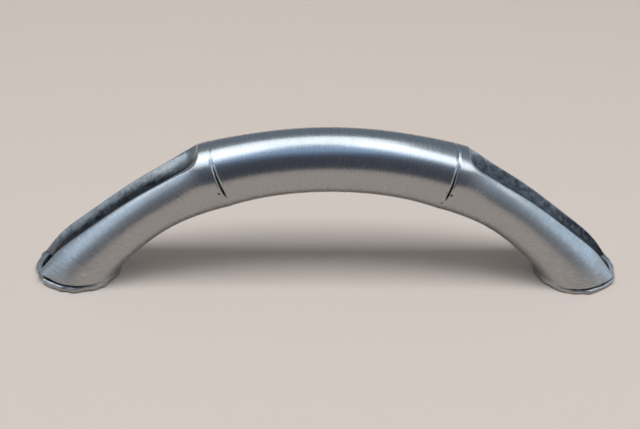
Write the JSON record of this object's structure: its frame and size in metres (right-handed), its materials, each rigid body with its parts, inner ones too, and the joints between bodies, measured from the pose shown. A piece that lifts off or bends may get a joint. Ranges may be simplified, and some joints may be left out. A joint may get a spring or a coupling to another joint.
{
  "type": "bridge pull handle",
  "caption": "Arched bridge pull with a round bow, ring grooves, scooped legs and round feet, each foot with a blind tapped hole.",
  "frame": {"origin": "on the mounting face, midway between the two feet", "axes": "+X along the handle from foot to foot, +Z away from the mounting face, Y across the bar"},
  "size_m": [0.112, 0.0166, 0.0309],
  "materials": {
    "satin_nickel": "satin nickel plate brushed around the bar, with a dark patina left in the recesses"
  },
  "bodies": {
    "root": {"pull_handle": "satin_nickel"}
  },
  "joints": []
}
